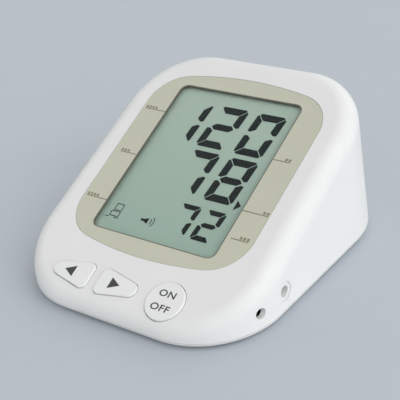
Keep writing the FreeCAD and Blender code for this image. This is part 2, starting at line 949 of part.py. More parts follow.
def coil_route(radius, length, turns):
    """Helix up the Z axis, drawn as tangent arcs, two to each quarter turn."""
    pitch = length / turns
    edges = []
    step = math.pi / 2
    for index in range(4 * turns):
        start = helix_point(radius, pitch, index * step)
        end = helix_point(radius, pitch, (index + 1) * step)
        out = helix_heading(radius, pitch, index * step)
        home = helix_heading(radius, pitch, (index + 1) * step)
        span = end - start
        lean = span.dot(out + home)
        bend = 2 * (1 - out.dot(home))
        reach = (math.sqrt(lean * lean + bend * span.dot(span)) - lean) / bend
        first = start + out * reach
        second = end - home * reach
        middle = (first + second) * (1 / 2)
        edges.append(arc_by_corner(start, first, middle))
        edges.append(arc_by_corner(middle, second, end))
    return Part.Wire(edges)


def battery_contact_springs():
    free = spring_length - 2 * spring_wire_radius - 2 * spring_end_gap
    print("contact spring, least gap between turns", free / spring_turns - 2 * spring_wire_radius)
    route = coil_route(spring_radius, free, spring_turns)
    start = helix_point(spring_radius, free / spring_turns, 0)
    section = Part.Circle(start, helix_heading(spring_radius, free / spring_turns, 0), spring_wire_radius)
    coil = route.makePipeShell([Part.Wire(section.toShape())], True, False)
    springs = []
    for x, plus in cell_columns():
        spring = coil.copy()
        spring.rotate(vec(0, 0, 0), vec(1, 0, 0), math.degrees(plus * math.pi / -2))
        seat = contact_face(-plus) + plus * (spring_wire_radius + spring_end_gap)
        spring.translate(vec(x, seat, cell_axis))
        springs.append(spring)
    return springs


def along_pump(radius, x_low, x_high):
    return rod(radius, vec(x_low, pump_y, pump_z), vec(x_high, pump_y, pump_z))


def pump_motor():
    can = along_pump(motor_radius, pump_start_x, motor_end)
    rims = [edge for edge in can.Edges if len(edge.Vertexes) == 1]
    can = can.makeFillet(motor_edge_radius, rims)
    cap = along_pump(motor_cap_radius, pump_start_x - motor_cap_height, pump_start_x)
    bearing = along_pump(shaft_radius + shaft_gap, motor_end - motor_bearing_depth, motor_end + weld)
    return joined([can, cap]).cut(bearing)


def pump_shaft():
    return along_pump(shaft_radius, motor_end - motor_bearing_depth + seat_gap, motor_end + shaft_reach)


def pump_eccentric():
    start = motor_end + shaft_reach - eccentric_end_gap - eccentric_thickness
    end = start + eccentric_thickness
    centre_z = pump_z + eccentric_offset
    disc = rod(eccentric_radius, vec(start, pump_y, centre_z), vec(end, pump_y, centre_z))
    return disc.cut(along_pump(shaft_radius, start - weld, end + weld))


def pump_head():
    cup = along_pump(head_radius, motor_end, head_end)
    cup = cup.cut(along_pump(head_radius - head_wall, motor_end - weld, head_end - head_end_wall))
    nipple = along_pump(nipple_radius, head_end - weld, head_end + nipple_length)
    return joined([cup, nipple]).cut(along_pump(nipple_bore, motor_end, head_end + cut_overrun))


def pump_diaphragm():
    """Rubber disc with three cups that press against the head's end wall."""
    end = head_end - head_end_wall
    sheet_end = end - diaphragm_cup_height
    sheet_radius = head_radius - head_wall - diaphragm_gap
    pieces = [along_pump(sheet_radius, sheet_end - diaphragm_thickness, sheet_end)]
    for index in range(diaphragm_cup_count):
        angle = 2 * math.pi * index / diaphragm_cup_count
        y = pump_y + diaphragm_cup_circle * math.cos(angle)
        z = pump_z + diaphragm_cup_circle * math.sin(angle)
        pieces.append(rod(diaphragm_cup_radius, vec(sheet_end - diaphragm_thickness, y, z), vec(end, y, z)))
    return joined(pieces)


def pump_cradle():
    start = pump_start_x + cradle_inset
    saddle = block(start, start + cradle_length, pump_y - cradle_side, pump_y + cradle_side, bay_roof,
                   bay_roof + cradle_height)
    return saddle.cut(along_pump(motor_radius + screw_fit, start - weld, start + cradle_length + weld))


def along_valve(radius, x_low, x_high):
    return rod(radius, vec(x_low, air_y, air_axis_height), vec(x_high, air_y, air_axis_height))


def valve_limits():
    """Inner faces of the yoke's two end plates."""
    return valve_x + valve_plate, valve_x + valve_length - valve_plate


def valve_height():
    return air_axis_height + valve_width / 2


def valve_yoke():
    low, high = valve_limits()
    half = valve_width / 2
    yoke = block(valve_x, valve_x + valve_length, air_y - half, air_y + half, floor_top, valve_height())
    yoke = yoke.cut(block(low, high, air_y - half - weld, air_y + half + weld, air_axis_height - coil_radius,
                          valve_height() + weld))
    return yoke.cut(along_valve(nipple_radius + screw_fit, high - weld, valve_x + valve_length + weld))


def valve_coil():
    low, high = valve_limits()
    winding = along_valve(coil_radius, low + coil_end_gap, high - coil_end_gap)
    return winding.cut(along_valve(valve_core_radius + valve_core_gap, low, high))


def valve_core():
    """Steel core that slides away from the nozzle inside the coil."""
    low, high = valve_limits()
    start = low + valve_travel + valve_stop_gap
    return along_valve(valve_core_radius, start, start + valve_core_length)


def valve_nozzle():
    low, high = valve_limits()
    end = valve_x + valve_length + nipple_length
    return along_valve(nipple_radius, high, end).cut(along_valve(nipple_bore, low, end + weld))


def air_manifold():
    half = manifold_width / 2
    end = manifold_x + manifold_length
    top = air_axis_height + manifold_cap
    sensor_x = manifold_x + manifold_sensor_port
    socket_x = manifold_x + manifold_socket_port
    socket_root = vec(socket_x, air_y, air_axis_height)
    socket_face = vec(socket_x, air_y - half + weld, air_axis_height)
    socket_tip = vec(socket_x, air_y - half - nipple_length, air_axis_height)
    sensor_root = vec(sensor_x, air_y, air_axis_height)
    sensor_face = vec(sensor_x, air_y, top - weld)
    sensor_tip = vec(sensor_x, air_y, top + nipple_short)
    pieces = [block(manifold_x, end, air_y - half, air_y + half, floor_top, top)]
    pieces.append(along_valve(nipple_radius, manifold_x - nipple_length, manifold_x + weld))
    pieces.append(along_valve(nipple_radius, end - weld, end + nipple_length))
    pieces.append(rod(nipple_radius, socket_tip, socket_face))
    pieces.append(rod(nipple_radius, sensor_face, sensor_tip))
    bores = [along_valve(nipple_bore, manifold_x - cut_overrun, end + cut_overrun)]
    bores.append(rod(branch_bore, socket_tip - vec(0, weld, 0), socket_root))
    bores.append(rod(branch_bore, sensor_root, sensor_tip + vec(0, 0, weld)))
    return joined(pieces).cut(bores)


def sensor_bend():
    """Point where the sensor's tube turns from upright to square to the board."""
    return vec(manifold_x + manifold_sensor_port, air_y, air_axis_height + manifold_cap + sensor_bend_rise)


def pressure_sensor():
    place = from_panel(sensor_bend())
    half = sensor_side / 2
    under = board_under - sensor_height
    body = block(place.x - half, place.x + half, place.y - half, place.y + half, under, board_under)
    tip = under - nipple_short
    nipple = rod(nipple_radius, vec(place.x, place.y, tip), vec(place.x, place.y, under + weld))
    bore = rod(nipple_bore, vec(place.x, place.y, tip - weld), vec(place.x, place.y, under))
    return on_panel(joined([body, nipple]).cut(bore))


def pump_air_tube():
    lane_x = bay_half + bay_wall + tube_lane
    end = manifold_x + manifold_length + tube_end_gap
    middle_y = (pump_y + air_y) / 2
    return air_tube([
        vec(head_end + tube_end_gap, pump_y, pump_z),
        vec(lane_x, pump_y, pump_z),
        vec(lane_x, middle_y, pump_z - tube_lane_drop),
        vec(lane_x, air_y, air_axis_height),
        vec(end, air_y, air_axis_height),
    ])


def valve_air_tube():
    start = valve_x + valve_length + tube_end_gap
    end = manifold_x - tube_end_gap
    return along_valve(tube_radius, start, end).cut(along_valve(tube_bore, start - weld, end + weld))


def sensor_air_tube():
    bend = sensor_bend()
    place = from_panel(bend)
    foot = vec(bend.x, bend.y, air_axis_height + manifold_cap + tube_end_gap)
    head = panel_point(place.x, place.y, board_under - sensor_height - tube_end_gap)
    return air_tube([foot, bend, head])


def socket_air_tube():
    x = manifold_x + manifold_socket_port
    start = vec(x, air_y - manifold_width / 2 - tube_end_gap, air_axis_height)
    end = vec(socket_back_x() - tube_end_gap, socket_y, air_axis_height)
    return air_tube([start, vec(x, socket_y, air_axis_height), end])


def socket_flange_x():
    return wall_inner_x(socket_y, air_axis_height + socket_flange_radius) - seat_gap


def socket_mouth_x():
    return wall_inner_x(socket_y, air_axis_height) + shell_wall - socket_recess


def socket_back_x():
    return socket_flange_x() - socket_flange_thickness - socket_body_length


def air_socket():
    def along(radius, x_low, x_high):
        return rod(radius, vec(x_low, socket_y, air_axis_height), vec(x_high, socket_y, air_axis_height))

    mouth = socket_mouth_x()
    back = socket_back_x()
    pieces = [along(socket_collar_radius, back, mouth)]
    flange_x = socket_flange_x()
    pieces.append(along(socket_flange_radius, flange_x - socket_flange_thickness, flange_x))
    pieces.append(along(nipple_radius, back - nipple_length, back + weld))
    bores = [along(socket_bore_radius, mouth - socket_bore_depth, mouth + weld)]
    bores.append(along(nipple_bore, back - cut_overrun, mouth))
    return joined(pieces).cut(bores)


def inlet_face_x():
    half = inlet_body_side / 2
    return wall_inner_x(inlet_y - half, inlet_height + half) - inlet_setback


def power_inlet():
    half = inlet_body_side / 2
    face = inlet_face_x()
    body = block(face - inlet_body_length, face, inlet_y - half, inlet_y + half, inlet_height - half,
                 inlet_height + half)
    bore = rod(inlet_bore_radius, vec(face - inlet_bore_depth, inlet_y, inlet_height),
               vec(face + weld, inlet_y, inlet_height))
    root = rod(inlet_pin_root_radius, vec(face - inlet_bore_depth - inlet_pin_root, inlet_y, inlet_height),
               vec(face, inlet_y, inlet_height))
    return body.cut([bore, root])


def power_inlet_pin():
    seat = inlet_face_x() - inlet_bore_depth
    start = vec(seat - inlet_pin_root, inlet_y, inlet_height)
    root = rod(inlet_pin_root_radius, start, vec(seat, inlet_y, inlet_height))
    pin = rod(inlet_pin_radius, start, vec(seat + inlet_pin_length, inlet_y, inlet_height))
    return joined([root, pin])


def turned(points):
    """Body of revolution about the speaker's upright axis, from (radius, height) points."""
    corners = [vec(speaker_x + radius, speaker_y, floor_top + height) for radius, height in points]
    face = Part.Face(Part.makePolygon(corners + corners[:1]))
    return face.revolve(vec(speaker_x, speaker_y, 0), vec(0, 0, 1), math.degrees(2 * math.pi))


def speaker_frame():
    """Basket with its rim on the floor and the magnet on top."""
    throat = speaker_rim_height + speaker_frame_height
    return turned([
        (speaker_radius - speaker_rim_width, 0),
        (speaker_radius, 0),
        (speaker_radius, speaker_rim_height),
        (speaker_magnet_radius, throat),
        (speaker_magnet_radius, throat + speaker_magnet_height),
        (0, throat + speaker_magnet_height),
        (0, throat - speaker_frame_wall),
        (speaker_magnet_radius - speaker_rim_width, throat - speaker_frame_wall),
        (speaker_radius - speaker_rim_width, speaker_rim_height - speaker_frame_wall),
    ])


def speaker_cone():
    """Thin dish held at its edge just inside the basket's rim."""
    edge = speaker_radius - speaker_rim_width - speaker_cone_gap
    throat = speaker_magnet_radius - speaker_rim_width
    low = speaker_cone_gap
    high = speaker_frame_height - speaker_frame_wall
    return turned([
        (edge, low - speaker_cone_gap),
        (edge, low),
        (throat, high),
        (0, high),
        (0, high - speaker_cone_wall),
        (throat - speaker_cone_wall, high - speaker_cone_wall),
        (edge - speaker_rim_width, low - speaker_cone_gap),
    ])


def lead_lane_edge():
    """Nearest place to the right of the battery leads where a piece may stand on the board."""
    return battery_lead_places()[1] + lead_radius + lead_side_gap


def chip(x, slope, width, length, height):
    """Package on the board's underside."""
    return on_panel(block(x - width / 2, x + width / 2, slope - length / 2, slope + length / 2,
                          board_under - height, board_under))


def filter_capacitors():
    cans = []
    first = lead_lane_edge() + capacitor_radius
    for x in (first, first + capacitor_spacing):
        can = rod(capacitor_radius, vec(x, capacitor_row, board_under - capacitor_height),
                  vec(x, capacitor_row, board_under))
        rims = [edge for edge in can.Edges if edge.BoundBox.ZMax < board_under - plane_tolerance]
        cans.append(on_panel(can.makeFillet(capacitor_edge_radius, rims)))
    return cans


def lead(start, out, lean):
    """Lead that leaves a unit along out and then climbs to the board."""
    knee = start + out
    top = board_underside(knee.y) - lead_end_gap - lead_radius * lean
    end = vec(knee.x, knee.y, top)
    if out.Length == 0:
        return rod(lead_radius, start, end)
    return swept([start, knee, end], lead_radius)


def battery_leads():
    z = floor_top + battery_lead_height
    lean = math.tan(tilt)
    return [lead(vec(x, bay_front, z), vec(0, -lead_reach, 0), lean) for x in battery_lead_places()]


def unit_leads(x, y, z, spacing_x, spacing_y, out):
    leads = []
    for side in (-1, 1):
        start = vec(x + side * spacing_x / 2, y + side * spacing_y / 2, z)
        leads.append(lead(start, out, math.tan(tilt)))
    return leads


def main():
    os.makedirs("parts", exist_ok=True)
    outer = outer_body()
    inner = inner_space()
    floor = tray(outer, inner)
    controller_row = board_row(air_y) + controller_lead_gap + controller_side / 2
    voice_chip_x = -lead_lane_edge() - voice_chip_width / 2
    nodes = {
        "upper_housing": [upper_housing(outer, inner)],
        "lower_housing": [lower_housing(floor)],
        "battery_cover": [battery_cover(floor)],
        "rubber_feet": rubber_feet(),
        "housing_screws": housing_screws(),
        "display_bezel": [display_bezel()],
        "display_window": [display_window()],
        "lcd_panel": [lcd_panel()],
        "lcd_holder": [lcd_holder()],
        "lcd_contact_strips": lcd_contact_strips(),
        "main_circuit_board": [main_circuit_board()],
        "board_screws": board_screws(),
        "switch_bodies": switch_bodies(),
        "battery_cells": battery_cells(),
        "battery_contact_plates": battery_contact_plates(),
        "battery_contact_springs": battery_contact_springs(),
        "pump_motor": [pump_motor()],
        "pump_shaft": [pump_shaft()],
        "pump_eccentric": [pump_eccentric()],
        "pump_head": [pump_head()],
        "pump_diaphragm": [pump_diaphragm()],
        "pump_cradle": [pump_cradle()],
        "valve_yoke": [valve_yoke()],
        "valve_coil": [valve_coil()],
        "valve_core": [valve_core()],
        "valve_nozzle": [valve_nozzle()],
        "air_manifold": [air_manifold()],
        "pressure_sensor": [pressure_sensor()],
        "pump_air_tube": [pump_air_tube()],
        "valve_air_tube": [valve_air_tube()],
        "sensor_air_tube": [sensor_air_tube()],
        "socket_air_tube": [socket_air_tube()],
        "air_socket": [air_socket()],
        "power_inlet": [power_inlet()],
        "power_inlet_pin": [power_inlet_pin()],
        "speaker_frame": [speaker_frame()],
        "speaker_cone": [speaker_cone()],
        "controller_chip": [chip(controller_x, controller_row, controller_side, controller_side,
                                 controller_height)],
        "voice_chip": [chip(voice_chip_x, voice_chip_row, voice_chip_width, voice_chip_length,
                            voice_chip_height)],
        "filter_capacitors": filter_capacitors(),
        "battery_leads": battery_leads(),
    }
    for name in button_places:
        nodes[name + "_button"] = [button(name)]
        nodes[name + "_switch_plunger"] = [switch_plunger(name)]
    speaker_top = floor_top + speaker_rim_height + speaker_frame_height + speaker_magnet_height
    coil_top = air_axis_height + coil_radius
    valve_middle = valve_x + valve_length / 2
    inlet_back = inlet_face_x() - inlet_body_length
    nodes["motor_leads"] = unit_leads(pump_start_x, pump_y, pump_z, 0, motor_lead_spacing,
                                      vec(-lead_reach, 0, 0))
    nodes["speaker_leads"] = unit_leads(speaker_x + speaker_lead_offset, speaker_y, speaker_top,
                                        speaker_lead_spacing, 0, vec(0, 0, 0))
    nodes["valve_leads"] = unit_leads(valve_middle, air_y, coil_top, valve_lead_spacing, 0, vec(0, 0, 0))
    inlet_lead_height = inlet_height - inlet_lead_drop
    nodes["inlet_leads"] = unit_leads(inlet_back, inlet_y, inlet_lead_height, 0, inlet_lead_spacing,
                                      vec(-lead_reach, 0, 0))
    for name, shapes in nodes.items():
        save(name, shapes)


main()
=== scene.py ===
import json
import math

import bmesh
import bpy
from mathutils import Matrix, Vector


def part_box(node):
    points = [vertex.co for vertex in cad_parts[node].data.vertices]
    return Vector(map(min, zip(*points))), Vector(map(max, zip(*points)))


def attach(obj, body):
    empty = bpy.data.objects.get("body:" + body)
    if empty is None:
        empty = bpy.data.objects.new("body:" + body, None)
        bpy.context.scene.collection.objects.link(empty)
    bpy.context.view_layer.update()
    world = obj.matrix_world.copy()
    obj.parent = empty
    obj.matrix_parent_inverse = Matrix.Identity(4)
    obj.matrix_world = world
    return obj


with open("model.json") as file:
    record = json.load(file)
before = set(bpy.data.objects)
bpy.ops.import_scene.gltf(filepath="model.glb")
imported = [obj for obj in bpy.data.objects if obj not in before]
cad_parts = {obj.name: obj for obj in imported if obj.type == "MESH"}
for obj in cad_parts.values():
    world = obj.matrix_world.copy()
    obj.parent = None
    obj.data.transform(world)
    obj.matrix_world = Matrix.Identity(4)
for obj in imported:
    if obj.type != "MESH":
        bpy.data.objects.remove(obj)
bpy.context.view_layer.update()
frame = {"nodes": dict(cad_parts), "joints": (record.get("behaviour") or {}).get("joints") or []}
nodes = frame["nodes"]

# Display, sizes in metres
lcd_lap = 0.002
window_corner = 0.0035
window_lip = 0.00045
segment_lift = 0.00003
segment_thickness = 0.00006
segment_gap = 0.00026
large_stroke = 0.0036
small_stroke = 0.0024
sign_line = 0.00034
digit_slant = math.radians(4)

# Places on the display, as shares of the window from its left and from its top
high_box_shares = ((0.065, 0.325), (0.361, 0.620), (0.670, 0.924))
low_box_shares = ((0.351, 0.609), (0.659, 0.914))
pulse_box_shares = ((0.528, 0.707), (0.735, 0.906))
high_row_shares = (0.080, 0.362)
low_row_shares = (0.391, 0.675)
pulse_row_shares = (0.725, 0.915)
wedge_shares = ((0.918, 0.633), (0.960, 0.663), (0.918, 0.697))
corner_frame_shares = (0.076, 0.135, 0.828, 0.868)
corner_foot_shares = (0.064, 0.137, 0.876, 0.906)
corner_dash_shares = ((0.036, 0.064), (0.106, 0.147))
corner_dash_row_share = 0.915
speaker_sign_shares = (0.320, 0.430, 0.864, 0.901)

# Corners of a digit's segments, as shares of the stroke
segment_cut_share = 0.40
segment_waist_share = 0.46
segment_point_share = 0.50

# Loudspeaker sign, as shares of its own width and, for its back, of its height
speaker_throat_share = 0.24
speaker_mouth_share = 0.52
speaker_wave_shares = (0.24, 0.44)
speaker_back_share = 0.20
speaker_wave_angle = math.radians(45)

# Prints on the bezel and the keys, sizes in metres
print_thickness = 0.00002
mark_line = 0.00048
mark_block_height = 0.0013
mark_block_length = 0.0011
mark_block_pitch = 0.0017
mark_block_rise = 0.0011
arrow_print_length = 0.0051
arrow_print_height = 0.0053
left_arrow_shift = -0.0013
right_arrow_shift = -0.0010
letter_height = 0.0030
letter_offset = 0.0032
letter_weight = 0.00007
letters_shift = -0.0002
letters_rise = -0.0003
letter_stretch = 1.22
letter_spacing = 1.08
capital_share = 0.73

# Marks on the bezel: share down the window, near and far end from its edge, count of blocks
left_marks = ((0.206, 0.0004, 0.0118, 4), (0.520, 0.0008, 0.0097, 3), (0.837, 0.0004, 0.0118, 4))
right_marks = ((0.362, 0.0006, 0.0087, 2), (0.694, 0.0004, 0.0127, 2), (0.861, 0.0024, 0.0108, 3))

# Colours, linear
white_abs = (0.775, 0.780, 0.772)
key_abs = (0.800, 0.804, 0.798)
champagne = (0.528, 0.532, 0.426)
lcd_green = (0.354, 0.459, 0.383)
# lighter, greyer colour towards the top of the display: painted sheen
lcd_painted_sheen = (0.436, 0.522, 0.442)
lcd_ink = (0.006, 0.009, 0.008)
print_grey = (0.050, 0.052, 0.056)
mark_brown = (0.235, 0.215, 0.150)
lens_tint = (0.97, 0.98, 0.97, 1)
lens_shadow_tint = (0.95, 0.96, 0.95, 1)
solder_mask = (0.012, 0.120, 0.045)
track_green = (0.030, 0.210, 0.085)
pad_gold = (0.62, 0.55, 0.36)
# copper shaded between the coil's turns and lit on them: painted shade and highlight
copper_shaded = (0.30, 0.09, 0.035)
copper_lit = (0.78, 0.34, 0.16)
sleeve_black = (0.020, 0.021, 0.024)
collar_gold = (0.52, 0.36, 0.16)
cell_steel = (0.66, 0.65, 0.63)
lead_red = (0.42, 0.018, 0.014)
lead_black = (0.014, 0.014, 0.015)
floor_grey = (0.500, 0.545, 0.590)

# Range of a noise that is stretched over a range of values
noise_low = 0.3
noise_high = 0.7

# Surface of moulded pieces and of plated ones, sizes in metres
patch_size = 0.014
patch_swing = 0.12
mottle_size = 0.022
streak_size = 0.0006
streak_depth = 0.000006
streak_spread = 0.06
streak_smooth = 0.80
streak_rough = 1.25

# Bezel paint: size of the flake in metres, its share and the gain of its painted glints, and shades of
# the painted shadow on the lip and on the wall round the window
flake_size = 0.00018
flake_share = 0.10
# gain of the flake's painted glints
flake_glint_gain = 1.5
# painted shadow: how dark the lip and the window's wall are painted
lip_painted_shadow = 0.30
wall_painted_shadow = 0.22
wall_facing = 0.5

# Display glass and its window
lens_ior = 1.28
lcd_gloss = 0.2
# sparkle: fine flecks painted lighter into the display's colour as painted glints
sparkle_size = 0.00012
sparkle_share = 0.10
sparkle_glint_gain = 1.6

# Inks
segment_gloss = 0.08
label_gloss = 0.4
ink_swing = 0.1

# Circuit board, coil and cells, sizes in metres
track_pitch = 0.0035
track_share = 0.07
pad_pitch = 0.005
pad_share = 0.16
coil_pitch = 0.0016
coil_unevenness = 0.3
collar_start = 0.016
cell_end_facing = 0.7

# Studio light, where 1 shows white as white
wall_light = 0.80
top_light = 0.17
right_wall_light = 1.00
backdrop_level = 0.85
lamp_angle = math.radians(60)
floor_reach = 6.0

# Lamps: azimuth and elevation in degrees, level
lamp_settings = {
    "key_lamp": (80, 42, 0.30),
    "fill_lamp": (-60, 32, 0.15),
    "back_lamp": (190, 34, 0.15),
}

# Camera, fitted to the photo: places in metres, lens and sensor in millimetres
camera_eye = Vector((0.2615, -0.3061, 0.2502))
camera_target = Vector((0.00304, -0.0022, 0.02668))
camera_roll = math.radians(-8.2)
camera_lens = 96.6
camera_sensor = 36

# Panel directions, from the way the keys move
key_joint = next(joint for joint in frame["joints"] if joint["name"] == "power_key_press")
panel_out = -Vector(key_joint["axis"]).normalized()
panel_right = Vector((1, 0, 0))
panel_up = panel_out.cross(panel_right)
panel_axes = Matrix((panel_right, panel_up, panel_out)).transposed()


def panel_box(node):
    """Lowest and highest corner of a node across the panel, up its slope and out of it."""
    points = [panel_axes.transposed() @ vertex.co for vertex in nodes[node].data.vertices]
    low = Vector([min(point[axis] for point in points) for axis in range(3)])
    high = Vector([max(point[axis] for point in points) for axis in range(3)])
    return low, high


# Edges of the display window on the panel
lcd_low, lcd_high = panel_box("lcd_panel")
window_left = lcd_low.x + lcd_lap
window_right = lcd_high.x - lcd_lap
window_bottom = lcd_low.y + lcd_lap
window_top = lcd_high.y - lcd_lap
window_width = window_right - window_left
window_length = window_top - window_bottom


def window_point(across_share, down_share):
    """Place on the panel from shares of the display window."""
    across = window_left + across_share * window_width
    up = window_top - down_share * window_length
    return Vector((across, up))


def show(name, data):
    """Object of some data, in the scene."""
    made = bpy.data.objects.new(name, data)
    bpy.context.scene.collection.objects.link(made)
    return made


# Shader helpers
def new_material(name):
    """Material with its node tree and its shader."""
    material = bpy.data.materials.new(name)
    material.use_nodes = True
    return material, material.node_tree, material.node_tree.nodes["Principled BSDF"]


def add(tree, kind, inputs, **settings):
    """Node with its settings, whose inputs are values or sockets."""
    made = tree.nodes.new(kind)
    for key, value in settings.items():
        setattr(made, key, value)
    for key, value in inputs.items():
        if isinstance(value, bpy.types.NodeSocket):
            tree.links.new(value, made.inputs[key])
        else:
            made.inputs[key].default_value = value
    return made


def place(tree, stretch=(1, 1, 1)):
    """Coordinates in the part's own frame, where a scale below 1 draws a pattern out along its axis."""
    source = add(tree, "ShaderNodeTexCoord", {}).outputs["Object"]
    return add(tree, "ShaderNodeMapping", {"Vector": source, "Scale": stretch}).outputs["Vector"]


def noise(tree, size, detail=2, stretch=(1, 1, 1)):
    """Noise of a given size in metres."""
    inputs = {"Vector": place(tree, stretch), "Scale": 1 / size, "Detail": detail}
    return add(tree, "ShaderNodeTexNoise", inputs).outputs["Fac"]


def blend(tree, factor, first, second):
    """Colour between two colours or colour sockets."""
    made = add(tree, "ShaderNodeMix", {}, data_type="RGBA")
    for socket, value in ((made.inputs[0], factor), (made.inputs[6], first), (made.inputs[7], second)):
        if isinstance(value, bpy.types.NodeSocket):
            tree.links.new(value, socket)
        else:
            socket.default_value = (*value, 1)
    return made.outputs[2]


def shade(colour, factor):
    """Colour made darker or lighter."""
    return tuple(min(1, channel * factor) for channel in colour)


def spread_to(tree, factor, low, high):
    """Noise stretched from its middle over a range of values."""
    inputs = {"Value": factor, "From Min": noise_low, "From Max": noise_high,
              "To Min": low, "To Max": high}
    return add(tree, "ShaderNodeMapRange", inputs).outputs["Result"]


def mottle(tree, colour, spread, size):
    """Colour that is unevenly darker and lighter by a spread."""
    factor = spread_to(tree, noise(tree, size), low=0, high=1)
    return blend(tree, factor, shade(colour, 1 - spread), shade(colour, 1 + spread))


def math_node(tree, operation, first, second=0):
    """Result of a sum or comparison of values or sockets."""
    return add(tree, "ShaderNodeMath", {0: first, 1: second}, operation=operation).outputs[0]


def dot(tree, vector, direction):
    """Length of a vector along a direction."""
    made = add(tree, "ShaderNodeVectorMath", {0: vector, 1: direction}, operation="DOT_PRODUCT")
    return made.outputs["Value"]


def along(tree, direction):
    """Distance along a direction, in the part's own frame."""
    return dot(tree, place(tree), direction)


def distance_from(tree, direction, middle):
    """Distance to either side of a place along a direction."""
    return math_node(tree, "ABSOLUTE", math_node(tree, "SUBTRACT", along(tree, direction), middle))


def facing(tree, direction):
    """How squarely a surface faces a direction, from -1 to 1."""
    normal = add(tree, "ShaderNodeNewGeometry", {}).outputs["True Normal"]
    return dot(tree, normal, direction)


def bump(tree, height, depth):
    """Normal of a surface with fine relief."""
    return add(tree, "ShaderNodeBump", {"Height": height, "Distance": depth}).outputs["Normal"]


def link(tree, shader, **sockets):
    """Sockets led to the shader's inputs of the same names."""
    for name, socket in sockets.items():
        tree.links.new(socket, shader.inputs[name.replace("_", " ")])


# Materials
def moulded(name, colour, roughness, grain, depth, spread):
    """Moulded plastic or rubber: faint mottling, smoother patches and the mould's fine grain."""
    material, tree, shader = new_material(name)
    smooth = roughness * (1 - patch_swing)
    rough = roughness * (1 + patch_swing)
    link(tree, shader, Base_Color=mottle(tree, colour, spread, mottle_size),
         Roughness=spread_to(tree, noise(tree, patch_size, detail=3), smooth, rough),
         Normal=bump(tree, noise(tree, grain, detail=3), depth))
    return material


def plated(name, colour, roughness, stretch):
    """Metal with fine drawing marks along one axis."""
    material, tree, shader = new_material(name)
    streaks = noise(tree, streak_size, detail=4, stretch=stretch)
    dark = shade(colour, 1 - streak_spread)
    bright = shade(colour, 1 + streak_spread)
    shader.inputs["Metallic"].default_value = 1
    link(tree, shader, Base_Color=blend(tree, streaks, dark, bright),
         Roughness=spread_to(tree, streaks, roughness * streak_smooth, roughness * streak_rough),
         Normal=bump(tree, streaks, streak_depth))
    return material


def window_distance(tree):
    """Distance outside the rounded edge of the display window."""
    excess = []
    edges = ((panel_right, window_left, window_right), (panel_up, window_bottom, window_top))
    for way, low, high in edges:
        off = distance_from(tree, way, (low + high) / 2)
        past = math_node(tree, "SUBTRACT", off, (high - low) / 2 - window_corner)
        excess.append(math_node(tree, "MAXIMUM", past, 0))
    corner = add(tree, "ShaderNodeCombineXYZ", {"X": excess[0], "Y": excess[1]}).outputs["Vector"]
    reach = add(tree, "ShaderNodeVectorMath", {0: corner}, operation="LENGTH").outputs["Value"]
    return math_node(tree, "SUBTRACT", reach, window_corner)


def bezel_paint():
    """Satin champagne paint with a fine flake painted lighter as glints, and painted shadow on the lip
    and the wall round the window.
    """
    material, tree, shader = new_material("bezel_beige")
    flake = spread_to(tree, noise(tree, flake_size, detail=1), low=0, high=1)
    glint = math_node(tree, "MULTIPLY", flake, flake_share)
    # painted shadow: the top within a lip's width of the window, and the faces turned away from the
    # panel, are darkened
    lip = math_node(tree, "LESS_THAN", window_distance(tree), window_lip)
    wall = math_node(tree, "LESS_THAN", facing(tree, panel_out), wall_facing)
    paint = mottle(tree, champagne, spread=0.025, size=0.03)
    # painted glints: flecks of the flake blended towards a lighter champagne
    paint = blend(tree, glint, paint, shade(champagne, flake_glint_gain))
    # painted shadow on the lip and on the wall round the window
    paint = blend(tree, lip, paint, shade(champagne, lip_painted_shadow))
    paint = blend(tree, wall, paint, shade(champagne, wall_painted_shadow))
    link(tree, shader, Base_Color=paint, Roughness=spread_to(tree, flake, low=0.36, high=0.46),
         Normal=bump(tree, noise(tree, size=0.00022), depth=0.000005))
    return material


def lens():
    """Clear acrylic that lets the lamps reach the display behind it."""
    material, tree, shader = new_material("lens_clear")
    shader.inputs["Transmission Weight"].default_value = 1
    shader.inputs["IOR"].default_value = lens_ior
    shader.inputs["Base Color"].default_value = lens_tint
    haze = noise(tree, size=0.02, detail=3)
    link(tree, shader, Roughness=spread_to(tree, haze, low=0.015, high=0.045))
    clear = add(tree, "ShaderNodeBsdfTransparent", {"Color": lens_shadow_tint}).outputs[0]
    shadow = add(tree, "ShaderNodeLightPath", {}).outputs["Is Shadow Ray"]
    mixed = add(tree, "ShaderNodeMixShader", {0: shadow, 1: shader.outputs[0], 2: clear})
    tree.links.new(mixed.outputs[0], tree.nodes["Material Output"].inputs["Surface"])
    return material


def lcd_glass():
    """Reflective display: green below, lighter and greyer up the slope as painted sheen, with the
    reflector's fine sparkle painted as lighter flecks for glints.
    """
    material, tree, shader = new_material("lcd_grey_green")
    shader.inputs["Specular IOR Level"].default_value = lcd_gloss
    slope = {"Value": along(tree, panel_up), "From Min": window_bottom, "From Max": window_top}
    height = add(tree, "ShaderNodeMapRange", slope).outputs["Result"]
    # painted sheen: the display turns lighter and greyer up the slope
    ground_and_sheen = blend(tree, height, lcd_green, lcd_painted_sheen)
    # painted glints: fine flecks blended towards a lighter green
    sparkle = spread_to(tree, noise(tree, sparkle_size, detail=1), low=0, high=sparkle_share)
    link(tree, shader, Base_Color=blend(tree, sparkle, ground_and_sheen, shade(lcd_green, sparkle_glint_gain)),
         Roughness=spread_to(tree, noise(tree, size=0.0004), low=0.30, high=0.42))
    return material


def ink(name, colour, roughness, gloss):
    """Printed ink or a dark segment, slightly uneven."""
    material, tree, shader = new_material(name)
    smooth = roughness * (1 - ink_swing)
    rough = roughness * (1 + ink_swing)
    shader.inputs["Specular IOR Level"].default_value = gloss
    link(tree, shader, Base_Color=mottle(tree, colour, spread=0.12, size=0.0006),
         Roughness=spread_to(tree, noise(tree, size=0.0003), smooth, rough))
    return material


